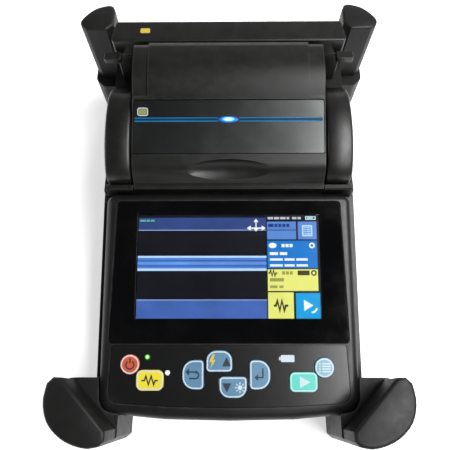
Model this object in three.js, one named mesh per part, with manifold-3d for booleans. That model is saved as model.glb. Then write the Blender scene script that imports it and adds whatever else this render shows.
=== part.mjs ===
// Hand-held fiber fusion splicer on four rubber corner bumpers.
// Millimetres, +X to the right, +Y to the rear, +Z up, z = 0 on the table.
import * as THREE from 'three';
import { mergeVertices } from 'three/addons/utils/BufferGeometryUtils.js';
import Module from 'manifold-3d';

const wasm = await Module();
wasm.setup();

// ---- driving dimensions -------------------------------------------------------------------

const GAP = 0.3; // clearance between pieces that touch

const PANEL_TILT = 11.7; // degrees, the screen and keypad face
const PANEL_Y = -32.1; // centre of the display, in the row frame
const PANEL_Z = 53.4;
const HOUSING_HALF = 61.3; // flat top face, before its rounded edge
const HOUSING_EDGE = 4; // rounded edge of the monitor housing
const HOUSING_BACK = 34.4;
const HOUSING_THICK = 9;
const GLASS_THICK = 1.3;
const SHEET_THICK = 0.6;
const BUTTON_PROUD = 0.9;
const DISPLAY_W = 95; // 4.3 inch display, active area
const DISPLAY_H = 53.9;

const CASE_HALF = 68.4;
const CASE_WALL = 2.5;
const CASE_BOTTOM = 5;
const CASE_TOP = 51.9;
const CASE_FRONT = -86;
const CASE_REAR = 99;
const SEAT_IN = 58; // ledge along each side wall that the monitor housing sits over
const SEAT_THICK = 2.5;

const DECK_LOW = 52.2;
const DECK_TOP = 55;
const DECK_HALF = 68.2;
const DECK_FRONT = 7.2;

const HINGE_Y = 77.5; // wind cover hinge axis
const HINGE_Z = 84;
const BARREL_R = 6; // hinge barrel at the back of the hump
const COVER_BACK = 76;
const PIN_R = 2;
const COVER_HALF = 50.4;
const COVER_WALL = 2;
const WING_IN = 51;
const WING_OUT = 65;

const FIBRE_Y = 35; // the fibre line that is spliced
const FIBRE_Z = 64;

const HEATER_FRONT = 84;
const HEATER_TOP = 76;
const LID_LOW = 76.3;
const LID_HALF = 64;
const LID_TOP = 87;

const BUMPER_OUT = 85;
const BUMPER_END = 117.4;
const BUMPER_IN = 54.6;
const FRONT_PAD_Z = 60.2;
const FRONT_BASE_Z = 38.2;
const REAR_PAD_Z = 81.5;
const REAR_BASE_Z = 40.5;

// ---- materials ----------------------------------------------------------------------------

function coat(color, roughness, metalness = 0) {
  return new THREE.MeshStandardMaterial({ color, roughness, metalness });
}
const shell = coat(0x17181b, 0.55);
const rubber = coat(0x141517, 0.8);
const gloss = coat(0x08090b, 0.08);
const sheetBlack = coat(0x101114, 0.35);
const steel = coat(0xb4b6ba, 0.3, 1);
const darkMetal = coat(0x3b3d42, 0.4, 1);
const boardGreen = coat(0x1d5a34, 0.5);
const lit = coat(0x2a5fc4, 0.3);
const white = coat(0xe8ecf0, 0.4);

// ---- helpers ------------------------------------------------------------------------------

function solid(geometry) {
  const bare = geometry.clone();
  bare.deleteAttribute('normal');
  bare.deleteAttribute('uv');
  const merged = mergeVertices(bare, 1e-4);
  return new wasm.Manifold(
    new wasm.Mesh({
      numProp: 3,
      vertProperties: merged.attributes.position.array,
      triVerts: new Uint32Array(merged.index.array),
    }),
  );
}

function surface(manifold) {
  const made = manifold.getMesh();
  const geometry = new THREE.BufferGeometry();
  geometry.setAttribute('position', new THREE.BufferAttribute(made.vertProperties, 3));
  geometry.setIndex(new THREE.BufferAttribute(made.triVerts, 1));
  const faceted = geometry.toNonIndexed();
  faceted.computeVertexNormals();
  return faceted;
}

function piece(name, shape, material, parent) {
  const geometry = shape.isBufferGeometry ? shape : surface(shape);
  const mesh = new THREE.Mesh(geometry, material);
  mesh.name = name;
  parent.add(mesh);
  return mesh;
}

// A closed outline from corners [x, y, radius], each corner rounded by its radius.
function rounded(corners, steps = 5) {
  const outline = [];
  corners.forEach(([x, y, radius = 0], i) => {
    const corner = new THREE.Vector2(x, y);
    const last = corners[(i + corners.length - 1) % corners.length];
    const next = corners[(i + 1) % corners.length];
    if (radius === 0) {
      outline.push([x, y]);
      return;
    }
    const back = new THREE.Vector2(last[0] - x, last[1] - y).normalize();
    const ahead = new THREE.Vector2(next[0] - x, next[1] - y).normalize();
    const half = Math.acos(back.dot(ahead)) / 2;
    const reach = radius / Math.tan(half);
    const inward = back.clone().add(ahead).normalize();
    const centre = corner.clone().addScaledVector(inward, radius / Math.sin(half));
    const from = corner.clone().addScaledVector(back, reach).sub(centre);
    const to = corner.clone().addScaledVector(ahead, reach).sub(centre);
    const sweep = Math.atan2(from.cross(to), from.dot(to));
    for (let k = 0; k <= steps; k += 1) {
      const arm = from.clone().rotateAround(new THREE.Vector2(), (sweep * k) / steps);
      outline.push([centre.x + arm.x, centre.y + arm.y]);
    }
  });
  return outline;
}

function roundRect(x, y, width, height, radius, steps) {
  const w = width / 2;
  const h = height / 2;
  const corners = [
    [x - w, y - h, radius],
    [x + w, y - h, radius],
    [x + w, y + h, radius],
    [x - w, y + h, radius],
  ];
  return rounded(corners, steps);
}

function circle(x, y, radius, count) {
  const outline = [];
  for (let i = 0; i < count; i += 1) {
    const a = (2 * Math.PI * i) / count;
    outline.push([x + radius * Math.cos(a), y + radius * Math.sin(a)]);
  }
  return outline;
}

// Points on an arc about (y, z), angles in degrees.
function arc(y, z, radius, from, to, steps) {
  const points = [];
  for (let k = 0; k <= steps; k += 1) {
    const a = THREE.MathUtils.degToRad(from + ((to - from) * k) / steps);
    points.push([y + radius * Math.cos(a), z + radius * Math.sin(a)]);
  }
  return points;
}

// A smooth run of points through the given ones.
function smooth(points, count) {
  const curve = new THREE.SplineCurve(points.map(([x, y]) => new THREE.Vector2(x, y)));
  return curve.getPoints(count).map((point) => [point.x, point.y]);
}

function shapeOf(outline) {
  return new THREE.Shape(outline.map(([x, y]) => new THREE.Vector2(x, y)));
}

// A plan outline raised from z0 to z1.
function slab(outline, z0, z1) {
  const geometry = new THREE.ExtrudeGeometry(shapeOf(outline), {
    depth: z1 - z0,
    bevelEnabled: false,
  });
  return geometry.translate(0, 0, z0);
}

// A plan outline raised from z0 to z1 that swells by a rounded edge between its two faces.
function softSlab(outline, z0, z1, edge, segments) {
  const geometry = new THREE.ExtrudeGeometry(shapeOf(outline), {
    depth: z1 - z0 - 2 * edge,
    bevelThickness: edge,
    bevelSize: edge,
    bevelSegments: segments,
  });
  return geometry.translate(0, 0, z0 + edge);
}

const LENGTHWISE = new THREE.Matrix4().set(0, 0, 1, 0, 1, 0, 0, 0, 0, 1, 0, 0, 0, 0, 0, 1);

// A side profile of [y, z] points carried from x0 to x1.
function across(profile, x0, x1) {
  return slab(profile, x0, x1).applyMatrix4(LENGTHWISE);
}

function softAcross(profile, x0, x1, edge, segments) {
  return softSlab(profile, x0, x1, edge, segments).applyMatrix4(LENGTHWISE);
}

function block(x0, x1, y0, y1, z0, z1) {
  const geometry = new THREE.BoxGeometry(x1 - x0, y1 - y0, z1 - z0);
  return geometry.translate((x0 + x1) / 2, (y0 + y1) / 2, (z0 + z1) / 2);
}

function rodX(radius, x0, x1, y, z, count = 24) {
  return across(circle(y, z, radius, count), x0, x1);
}

// A profile moved inwards by a distance, corner by corner; its corners run anticlockwise.
function inset(profile, distance) {
  return profile.map(([x, y], i) => {
    const last = profile[(i + profile.length - 1) % profile.length];
    const next = profile[(i + 1) % profile.length];
    const into = new THREE.Vector2(x - last[0], y - last[1]).normalize();
    const out = new THREE.Vector2(next[0] - x, next[1] - y).normalize();
    const normal = new THREE.Vector2(-into.y - out.y, into.x + out.x).normalize();
    const along = normal.x * -into.y + normal.y * into.x;
    return [x + (normal.x * distance) / along, y + (normal.y * distance) / along];
  });
}

// ---- groups -------------------------------------------------------------------------------

const splicer = new THREE.Group();
splicer.name = 'fusion_splicer';

const panel = new THREE.Group();
panel.name = 'panel';
panel.position.set(0, PANEL_Y, PANEL_Z);
panel.rotation.x = THREE.MathUtils.degToRad(PANEL_TILT);
panel.updateMatrix();
splicer.add(panel);

const tiltTan = Math.tan(THREE.MathUtils.degToRad(PANEL_TILT));
const tiltCos = Math.cos(THREE.MathUtils.degToRad(PANEL_TILT));

// Height of the monitor housing's flat underside at y.
function underHousing(y) {
  return PANEL_Z + tiltTan * (y - PANEL_Y) - HOUSING_THICK / tiltCos;
}

// ---- monitor housing, screen and keypad ----------------------------------------------------

// Plan of the housing's top face, x by distance up the slope; the front edge is bowed.
const housingOutline = rounded([
  [-HOUSING_HALF, -69.6, 5],
  [-32, -72.3],
  [0, -73],
  [32, -72.3],
  [HOUSING_HALF, -69.6, 5],
  [HOUSING_HALF, HOUSING_BACK, 1.5],
  [-HOUSING_HALF, HOUSING_BACK, 1.5],
]);
const glassOutline = rounded([
  [-60.6, -39.1, 2],
  [60.6, -39.1, 2],
  [58.6, 33.8, 2],
  [-58.6, 33.8, 2],
]);
const sheetOutline = rounded([
  [-60, -67.4, 5],
  [-30, -69.3],
  [0, -69.9],
  [30, -69.3],
  [60, -67.4, 5],
  [58.8, -40, 1.5],
  [-58.8, -40, 1.5],
]);

// name, colour, outline on the panel
const buttons = [
  ['button_power', 0xe0442c, circle(-49.4, -49.3, 4.9, 20)],
  ['button_heat', 0xe8c81e, roundRect(-39.3, -56.9, 13.6, 9.9, 3, 4)],
  [
    'button_back',
    0x5f93c4,
    rounded([[-23.3, -61.3, 6], [-12.5, -61.3, 2], [-12.5, -47.1, 2], [-23.3, -47.1, 6]], 5),
  ],
  [
    'button_up',
    0x5f93c4,
    rounded([[-11.4, -52.9, 2], [1.7, -52.9, 2], [1.7, -42.5, 5], [-11.4, -42.5, 5]], 5),
  ],
  [
    'button_down',
    0x5f93c4,
    rounded([[-4.9, -65.3, 5], [8.9, -65.3, 5], [8.9, -55.1, 2], [-4.9, -55.1, 2]], 5),
  ],
  [
    'button_enter',
    0x5f93c4,
    rounded([[10.2, -61.3, 2], [20.6, -61.3, 6], [20.6, -47.1, 6], [10.2, -47.1, 2]], 5),
  ],
  ['button_start', 0x36b3a0, roundRect(36.9, -57.7, 13.8, 9.6, 2.6, 4)],
  ['button_menu', 0x86b6dc, circle(47.4, -50.8, 4.9, 20)],
];
const leds = [
  ['led_power', 0x5ff078, circle(-40.9, -45.8, 1.5, 14)],
  ['led_heat', 0xe9ecef, circle(-30.7, -53.4, 1.3, 14)],
];

function makePanel() {
  const keys = [...buttons, ...leds];
  let housing = solid(softSlab(housingOutline, -HOUSING_THICK, 0, HOUSING_EDGE, 3));
  const glassPocket = inset(glassOutline, -GAP);
  const sheetPocket = inset(sheetOutline, -GAP);
  housing = housing.subtract(solid(slab(glassPocket, -GLASS_THICK - GAP, 5)));
  housing = housing.subtract(solid(slab(sheetPocket, -SHEET_THICK - GAP, 5)));
  const displayHole = roundRect(0, 0, DISPLAY_W + 4, DISPLAY_H + 4, 1, 2);
  housing = housing.subtract(solid(slab(displayHole, -20, 5)));
  let sheet = solid(slab(sheetOutline, -SHEET_THICK, 0));
  keys.forEach(([, , outline]) => {
    const hole = solid(slab(inset(outline, -0.25), -20, 5));
    housing = housing.subtract(hole);
    sheet = sheet.subtract(hole);
  });
  piece('monitor_housing', housing, shell, panel);
  piece('keypad_sheet', sheet, sheetBlack, panel);
  piece('screen_glass', slab(glassOutline, -GLASS_THICK, 0), gloss, panel);
  const display = roundRect(0, 0, DISPLAY_W + 3, DISPLAY_H + 3, 1, 2);
  piece('lcd_panel', slab(display, -6, -GLASS_THICK - GAP), lit, panel);
  buttons.forEach(([name, color, outline]) => {
    const cap = slab(outline, -5.5, BUTTON_PROUD);
    piece(name, cap, coat(color, 0.4), panel);
  });
  leds.forEach(([name, color, outline]) => {
    piece(name, slab(outline, -4, 0.15), coat(color, 0.25), panel);
  });
}

// ---- lower case and what is in it ----------------------------------------------------------

const batteryBay = [-5, CASE_HALF - 0.2, -10, 60, 10, 36]; // x, y and z limits of the pack
const portWindow = [16, 54, 14.5, 29.5]; // y and z limits of the port opening
const screwSpots = [
  [-48, -62],
  [48, -62],
  [-48, 84],
  [48, 84],
];

function makeCase() {
  const outer = [
    [CASE_FRONT, 14],
    [-79, CASE_BOTTOM],
    [93, CASE_BOTTOM],
    [CASE_REAR, 11],
    [CASE_REAR, CASE_TOP],
    [6.5, CASE_TOP],
    [CASE_FRONT, underHousing(CASE_FRONT) - GAP],
  ];
  const inner = [
    [CASE_FRONT + CASE_WALL, 15],
    [-78, CASE_BOTTOM + CASE_WALL],
    [92, CASE_BOTTOM + CASE_WALL],
    [CASE_REAR - CASE_WALL, 12],
    [CASE_REAR - CASE_WALL, CASE_TOP + 9],
    [CASE_FRONT + CASE_WALL, CASE_TOP + 9],
  ];
  const inside = CASE_HALF - CASE_WALL;
  let tub = solid(across(outer, -CASE_HALF, CASE_HALF));
  tub = tub.subtract(solid(across(inner, -inside, inside)));
  const seatTop = [6, CASE_FRONT + 1].map((y) => [y, underHousing(y) - GAP]);
  const seatLow = [CASE_FRONT + 1, 6].map((y) => [y, underHousing(y) - GAP - SEAT_THICK]);
  const seat = solid(across([...seatLow, ...seatTop], SEAT_IN, CASE_HALF - 1));
  tub = tub.add(seat).add(seat.mirror([1, 0, 0]));
  for (let i = -4; i <= 4; i += 1) {
    const vent = block(i * 6 - 1.2, i * 6 + 1.2, CASE_REAR - 1.2, CASE_REAR + 1, 18, 36);
    tub = tub.subtract(solid(vent));
  }
  const [, , y0, y1, z0, z1] = batteryBay;
  tub = tub.subtract(
    solid(block(inside - 1, CASE_HALF + 1, y0 - GAP, y1 + GAP, z0 - GAP, z1 + GAP)),
  );
  const [py0, py1, pz0, pz1] = portWindow;
  tub = tub.subtract(solid(block(-CASE_HALF - 1, -inside + 1, py0, py1, pz0, pz1)));
  tub = tub.subtract(
    solid(block(-CASE_HALF - 1, -CASE_HALF + 1.2, py0 - 2, py1 + 2, pz0 - 1.4, pz1 + 2)),
  );
  screwSpots.forEach(([x, y]) => {
    tub = tub.subtract(solid(slab(circle(x, y, 3.3, 12), 0, 6.5)));
  });
  piece('lower_case', tub, shell, splicer);
  screwSpots.forEach(([x, y], i) => {
    const head = slab(circle(x, y, 3, 12), CASE_BOTTOM + 0.2, 6.2);
    piece(`case_screw_${i + 1}`, head, steel, splicer);
  });
}

function makeInside() {
  const board = block(-56, 56, -45, 90, 38, 39.6);
  piece('main_board', board, boardGreen, splicer);
  const optics = slab(roundRect(0, FIBRE_Y, 44, 30, 2, 3), 41, 51.5);
  piece('microscope_unit', optics, darkMetal, splicer);
  let pack = solid(block(...batteryBay));
  const face = batteryBay[1];
  for (let z = 15; z <= 31; z += 4) {
    pack = pack.subtract(solid(block(face - 0.8, face + 1, 40, 55, z - 0.8, z + 0.8)));
  }
  piece('battery_pack', pack, shell, splicer);
  const latch = solid(block(0, 1.6, 20, 32, 20, 26));
  const end = batteryBay[1] + GAP;
  piece('battery_latch', latch.translate([end, 0, 0]), sheetBlack, splicer);
}

function makePorts() {
  const wall = -CASE_HALF;
  const [y0, y1, z0, z1] = portWindow;
  const inlet = solid(block(wall + 2.9, wall + 14, 19, 30, 16, 27));
  const mouth = solid(rodX(2.75, wall - 1, wall + 12, 24.5, 21.5, 16));
  const core = solid(rodX(0.9, wall + 3.5, wall + 13, 24.5, 21.5, 10));
  piece('dc_jack', inlet.subtract(mouth).add(core), sheetBlack, splicer);
  const socket = solid(block(wall + 2.9, wall + 14, 36, 50, 17, 25));
  const slot = solid(block(wall - 1, wall + 12, 37, 49, 18.8, 23.2));
  const tongue = solid(block(wall + 3.5, wall + 13, 38.5, 47.5, 21.4, 22.6));
  piece('usb_port', socket.subtract(slot).add(tongue), steel, splicer);
  const door = block(wall - 0.4, wall + 0.9, y0 - 1.7, y1 + 1.7, z0 - 1.1, z1 + 1.7);
  const tab = block(wall - 1.4, wall + 0.5, 32, 38, z1 - 0.4, z1 + 1.2);
  piece('port_door', solid(door).add(solid(tab)), rubber, splicer);
}

// ---- deck and the splicing bench -----------------------------------------------------------

function makeDeck() {
  const middle = (DECK_FRONT + CASE_REAR) / 2;
  const depth = CASE_REAR - DECK_FRONT;
  const plan = roundRect(0, middle, 2 * DECK_HALF, depth, 3, 4);
  const rib = [
    [DECK_FRONT, DECK_TOP - 1],
    [10.5, DECK_TOP - 1],
    [10.5, 61.4],
    [9.8, 62.1],
    [8, 62.1],
    [DECK_FRONT, 61.4],
  ];
  const left = solid(across(rib, -DECK_HALF + 2.6, -WING_IN));
  const right = solid(across(rib, WING_IN, DECK_HALF - 2.6));
  const plate = solid(slab(plan, DECK_LOW, DECK_TOP)).add(left).add(right);
  piece('deck_plate', plate, shell, splicer);
}

function makeGrooveBlock() {
  let bench = solid(block(-7, 7, FIBRE_Y - 6, FIBRE_Y + 6, DECK_TOP + GAP, FIBRE_Z));
  bench = bench.subtract(solid(block(-2, 2, 0, 90, 59, 80)));
  const groove = [
    [FIBRE_Y, FIBRE_Z - 0.5],
    [FIBRE_Y + 0.6, FIBRE_Z + 0.5],
    [FIBRE_Y - 0.6, FIBRE_Z + 0.5],
  ];
  bench = bench.subtract(solid(across(groove, -9, 9)));
  piece('v_groove_block', bench, darkMetal, splicer);
}

// side is -1 for the front electrode and +1 for the rear one
function makeElectrode(name, side) {
  const needle = new THREE.LatheGeometry(
    [
      new THREE.Vector2(0, 1),
      new THREE.Vector2(1, 4),
      new THREE.Vector2(1, 15),
      new THREE.Vector2(0, 15),
    ],
    12,
  );
  if (side < 0) {
    needle.rotateX(Math.PI);
  }
  needle.translate(0, side * FIBRE_Y, 0);
  needle.translate(0, FIBRE_Y - side * FIBRE_Y, FIBRE_Z);
  piece(`electrode_${name}`, needle, steel, splicer);
  const y = FIBRE_Y + side * 11.5;
  let clamp = solid(block(-5, 5, y - 3, y + 3, DECK_TOP + GAP, FIBRE_Z + 4));
  const bore = new THREE.CylinderGeometry(1.3, 1.3, 20, 12);
  clamp = clamp.subtract(solid(bore.translate(0, y, FIBRE_Z)));
  piece(`electrode_clamp_${name}`, clamp, darkMetal, splicer);
}

// side is -1 for left and +1 for right
function makeFibreStage(name, side) {
  const near = side < 0 ? [-44, -13] : [13, 44];
  const stage = block(...near, FIBRE_Y - 9, FIBRE_Y + 9, DECK_TOP + GAP, 58);
  piece(`fibre_stage_${name}`, stage, darkMetal, splicer);
  const x0 = side < 0 ? -41 : 17;
  const x1 = x0 + 24;
  let holder = solid(block(x0, x1, FIBRE_Y - 7, FIBRE_Y + 9, 58 + GAP, FIBRE_Z));
  holder = holder.subtract(solid(block(x0 - 1, x1 + 1, FIBRE_Y - 0.5, FIBRE_Y + 0.5, 63.4, 70)));
  piece(`fibre_holder_${name}`, holder, steel, splicer);
  const lid = block(x0 + 2, x1 - 2, FIBRE_Y - 4, FIBRE_Y + 7, FIBRE_Z + GAP, FIBRE_Z + 2.5);
  piece(`holder_lid_${name}`, lid, sheetBlack, splicer);
}

// ---- wind cover ----------------------------------------------------------------------------

const LABEL_LOW = [21.9, 73.7];
const LABEL_HIGH = [49.3, 82.4];

// Side profile of the cover, anticlockwise seen from +X with y to the right.
const coverProfile = [
  [7.2, 57],
  [COVER_BACK, 57],
  ...arc(HINGE_Y, HINGE_Z, BARREL_R, -104, 90, 14),
  ...smooth([[72, 90], [66.9, 89.8], [62.3, 89.1], [57.9, 87.7], [53.4, 85.2], LABEL_HIGH], 16),
  ...smooth([LABEL_LOW, [17, 71.8], [13.4, 68.6], [11, 64.4], [10.2, 63]], 14),
  [8.6, 63.1],
  [7.4, 62.3],
];

// The hump is a little lower over its last few millimetres at each end.
const stripProfile = [
  [50.5, 60],
  [COVER_BACK, 60],
  ...arc(HINGE_Y, HINGE_Z, BARREL_R - 1, -107, 90, 12),
  ...smooth([[72, 89], [67, 88.8], [62.6, 88.1], [58.3, 86.7], [54, 84.3], [50.5, 81.9]], 16),
];

// The space a hinge post sweeps inside the cover as the cover swings up.
const postSlot = [
  ...arc(HINGE_Y, HINGE_Z, 4, 90, 180, 6),
  [HINGE_Y - 4, 50],
  [HINGE_Y + 10, 50],
  [HINGE_Y + 10, HINGE_Z + 4],
];

const coverHollow = [
  [10, 50],
  [COVER_BACK - COVER_WALL, 50],
  [COVER_BACK - COVER_WALL, 78],
  [69.5, 83.5],
  [66.5, 86.8],
  [62.9, 86.2],
  [58.8, 84.9],
  [54.6, 82.6],
  [50, 80.2],
  [22.4, 71.4],
  [18.2, 69.8],
  [15.2, 67.4],
  [13, 63.6],
  [10, 61],
];

function makeCover() {
  const outer = solid(across(coverProfile, -COVER_HALF, COVER_HALF));
  const inside = COVER_HALF - COVER_WALL;
  let cover = outer.subtract(solid(across(coverHollow, -inside, inside)));
  const dip = new THREE.SphereGeometry(1, 32, 16);
  const scoop = dip.clone().scale(26.5, 8, 8).translate(0, 11.5, 73);
  const backing = dip.clone().scale(28.5, 10, 10).translate(0, 11.5, 73);
  cover = cover.add(solid(backing).intersect(outer)).subtract(solid(scoop));
  [-1, 1].forEach((side) => {
    const slot = across(postSlot, -4.3, 4.3);
    cover = cover.subtract(solid(slot.translate(side * 33, 0, 0)));
    const end = solid(block(42.3, 55, 51, 90, 65, 95)).subtract(solid(across(stripProfile, 40, 60)));
    cover = cover.subtract(side < 0 ? end.mirror([1, 0, 0]) : end);
    const notch = block(47, 53, FIBRE_Y - 11, FIBRE_Y + 11, 50, FIBRE_Z + 4);
    cover = cover.subtract(solid(notch.translate(side < 0 ? -100 : 0, 0, 0)));
  });
  const bore = rodX(PIN_R + GAP, -COVER_HALF - 1, COVER_HALF + 1, HINGE_Y, HINGE_Z);
  cover = cover.subtract(solid(bore));
  cover = cover.subtract(solid(labelSolid(50, 1.1, 0.2)));
  piece('wind_cover', cover, shell, splicer);
  const pin = rodX(PIN_R, -COVER_HALF + 0.4, COVER_HALF - 0.4, HINGE_Y, HINGE_Z);
  piece('cover_hinge_pin', pin, steel, splicer);
}

// The label plate lies along the sloped flat of the cover: half width, depth of its lower face,
// and how far it is grown at its two ends.
function labelSolid(half, depth, grow, top = 3) {
  const [y0, z0] = LABEL_LOW;
  const [y1, z1] = LABEL_HIGH;
  const length = Math.hypot(y1 - y0, z1 - z0);
  const plate = slab(roundRect(0, length / 2, 2 * half, length + 2 * grow, 0.8, 2), -depth, top);
  plate.rotateX(Math.atan2(z1 - z0, y1 - y0));
  return plate.translate(0, y0, z0);
}

function makeLabel() {
  let plate = solid(labelSolid(49.6, 0.8, -0.4, 0));
  const [y0, z0] = LABEL_LOW;
  const slope = Math.atan2(LABEL_HIGH[1] - z0, LABEL_HIGH[0] - y0);
  const strip = (grow, low, high) =>
    slab(roundRect(0, 18.2, 9 + 2 * grow, 1.4 + 2 * grow, 0.6, 3), low, high)
      .rotateX(slope)
      .translate(0, y0, z0);
  plate = plate.subtract(solid(strip(0.25, -2, 2)));
  piece('cover_label_plate', plate, gloss, splicer);
  piece('cover_light_bar', strip(0, -0.8, 0.1), white, splicer);
}

function makeWing(name, side) {
  const brow = [
    [67.3, 60],
    [66.8, 64],
    [64.4, 69],
    [59.8, 73.5],
    [53.6, 76.2],
    [41, 76.7],
    [29, 74.7],
    [19.2, 70.4],
    [14, 66.4],
    [13, 63.4],
  ];
  const profile = [[13, 57.4], [67.4, 57.4], ...smooth(brow, 26)];
  let wing = solid(softAcross(profile, WING_IN, WING_OUT, 2, 2));
  wing = wing.subtract(solid(block(40, 70, FIBRE_Y - 4, FIBRE_Y + 4, 50, FIBRE_Z + 2)));
  const mesh = piece(`cover_wing_${name}`, wing, shell, splicer);
  mesh.scale.x = side;
}

function makeHingePosts() {
  const profile = [
    [HINGE_Y - 3.4, DECK_TOP + GAP],
    [HINGE_Y + 3.4, DECK_TOP + GAP],
    ...arc(HINGE_Y, HINGE_Z, 3.4, 0, 180, 8),
  ];
  [['left', -33], ['right', 33]].forEach(([name, x]) => {
    const post = solid(across(profile, x - 3, x + 3));
    const bore = solid(rodX(PIN_R + 0.08, x - 5, x + 5, HINGE_Y, HINGE_Z));
    piece(`hinge_post_${name}`, post.subtract(bore), darkMetal, splicer);
  });
}

// ---- tube heater ---------------------------------------------------------------------------

function makeHeater() {
  const rear = CASE_REAR - 0.5;
  let body = solid(block(-63, 63, HEATER_FRONT, rear, DECK_TOP + GAP, HEATER_TOP));
  body = body.subtract(solid(block(-70, 70, 87.5, 95, 66, 80)));
  piece('heater_body', body, shell, splicer);
  let trough = solid(block(-31, 31, 87.8, 94.7, 66 + GAP, 70));
  trough = trough.subtract(solid(block(-40, 40, 89.6, 92.9, 67.6, 80)));
  piece('heater_plate', trough, steel, splicer);
  const lidPlan = rounded([
    [-LID_HALF, HEATER_FRONT, 2],
    [LID_HALF, HEATER_FRONT, 2],
    [LID_HALF - 2.5, rear, 3],
    [2.5 - LID_HALF, rear, 3],
  ]);
  const lidProfile = rounded([
    [HEATER_FRONT, LID_LOW],
    [rear, LID_LOW],
    [rear, LID_TOP - 0.3, 1.4],
    [HEATER_FRONT, LID_TOP, 1.4],
  ]);
  let lid = solid(slab(lidPlan, LID_LOW, LID_TOP));
  lid = lid.intersect(solid(across(lidProfile, -LID_HALF, LID_HALF)));
  lid = lid.subtract(solid(block(-58, 58, 87.5, 95, 70, 80)));
  piece('heater_lid', lid, shell, splicer);
  [['left', -1], ['right', 1]].forEach(([name, side]) => {
    const tab = slab(roundRect(64.2, 80.9, 9.4, 5.4, 1, 3), LID_LOW, 79.6);
    piece(`heater_lid_tab_${name}`, tab, shell, splicer).scale.x = side;
  });
}

// ---- corner bumpers ------------------------------------------------------------------------

// Plan of the front right bumper's outside, from its inner front corner round to the rear.
const frontCurve = [
  [57.4, -116.5],
  [63.5, -BUMPER_END],
  [71.6, -115.2],
  [77.9, -111.3],
  [82.7, -105.6],
  [BUMPER_OUT, -97.5],
  [84.1, -89.8],
];
// Plan of the rear right column's outside, from its front corner round to its rear inner one.
const rearCurve = [
  [80.4, 98.1],
  [83.2, 100.6],
  [84.2, 104],
  [81.6, 108.6],
  [76.5, 113.5],
  [69.5, 116],
  [66.3, 115.2],
];

// A rubber edge: plan moved in by the roundness of its rim, so that the rim swells back to it.
function padSlab(outline, z0, z1, rim) {
  return solid(softSlab(inset(outline, rim), z0, z1, rim, 3));
}

function makeFrontBumper(name, side) {
  const curve = smooth(frontCurve, 14);
  const base = [[BUMPER_IN, -114], ...curve, [80.6, -86.6], [77, -86.3], [BUMPER_IN, -86.3]];
  const pad = [[55.2, -114.4], ...curve, [81.4, -87.2], [77.4, -87.4], [55.2, -110.2]];
  let bumper = solid(slab(base, 0, FRONT_BASE_Z)).add(padSlab(pad, 20, FRONT_PAD_Z, 1.6));
  const grown = inset(housingOutline, -GAP - 0.1);
  const lip = softSlab(grown, -HOUSING_THICK - 0.4, 0.4, HOUSING_EDGE, 2);
  bumper = bumper.subtract(solid(lip.applyMatrix4(panel.matrix)));
  piece(`bumper_front_${name}`, bumper, rubber, splicer).scale.x = side;
}

function makeRearBumper(name, side) {
  const base = rounded(
    [
      [BUMPER_IN, CASE_REAR + GAP],
      [CASE_HALF + GAP, CASE_REAR + GAP],
      [CASE_HALF + GAP, 90.6],
      [80, 90.6, 5],
      [BUMPER_OUT, 96, 5],
      [BUMPER_OUT, 105, 4],
      [72, BUMPER_END, 8],
      [BUMPER_IN, BUMPER_END, 5],
    ],
    4,
  );
  const pad = [[68.9, 97.7], ...smooth(rearCurve, 14), [65, 112], [65, 101.6]];
  let bumper = solid(slab(base, 0, REAR_BASE_Z)).add(padSlab(pad, 20, REAR_PAD_Z, 1.4));
  const corner = block(0, CASE_HALF + GAP, 0, CASE_REAR + GAP, -1, DECK_TOP + GAP);
  bumper = bumper.subtract(solid(corner));
  piece(`bumper_rear_${name}`, bumper, rubber, splicer).scale.x = side;
}

// ---- assembly ------------------------------------------------------------------------------

makePanel();
makeCase();
makeInside();
makePorts();
makeDeck();
makeGrooveBlock();
makeElectrode('front', -1);
makeElectrode('rear', 1);
makeFibreStage('left', -1);
makeFibreStage('right', 1);
makeCover();
makeLabel();
const lamp = slab(roundRect(0, 40, 16, 6, 1, 2), 74.2, 75.6);
piece('cover_lamp', lamp, white, splicer);
makeWing('left', -1);
makeWing('right', 1);
makeHingePosts();
makeHeater();
makeFrontBumper('left', -1);
makeFrontBumper('right', 1);
makeRearBumper('left', -1);
makeRearBumper('right', 1);

export default splicer;
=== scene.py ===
"""Looks of the hand-held fiber fusion splicer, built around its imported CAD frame."""

import math

import bmesh
import bpy
from mathutils import Matrix, Vector


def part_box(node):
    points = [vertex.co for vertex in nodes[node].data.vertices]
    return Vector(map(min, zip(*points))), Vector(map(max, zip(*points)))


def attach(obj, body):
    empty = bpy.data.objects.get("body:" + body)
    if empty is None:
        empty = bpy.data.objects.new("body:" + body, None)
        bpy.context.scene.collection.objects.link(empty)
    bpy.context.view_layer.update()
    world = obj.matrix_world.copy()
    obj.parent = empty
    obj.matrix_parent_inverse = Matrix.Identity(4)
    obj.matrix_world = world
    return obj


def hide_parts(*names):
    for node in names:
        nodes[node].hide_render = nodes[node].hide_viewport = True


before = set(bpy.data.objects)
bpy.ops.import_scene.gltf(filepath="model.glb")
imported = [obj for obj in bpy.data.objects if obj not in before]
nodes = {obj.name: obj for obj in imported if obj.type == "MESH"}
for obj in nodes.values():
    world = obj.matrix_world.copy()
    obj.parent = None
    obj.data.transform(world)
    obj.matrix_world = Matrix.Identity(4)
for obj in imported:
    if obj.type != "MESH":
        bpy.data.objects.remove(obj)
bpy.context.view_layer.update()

MM = 0.001
scene = bpy.context.scene

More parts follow.
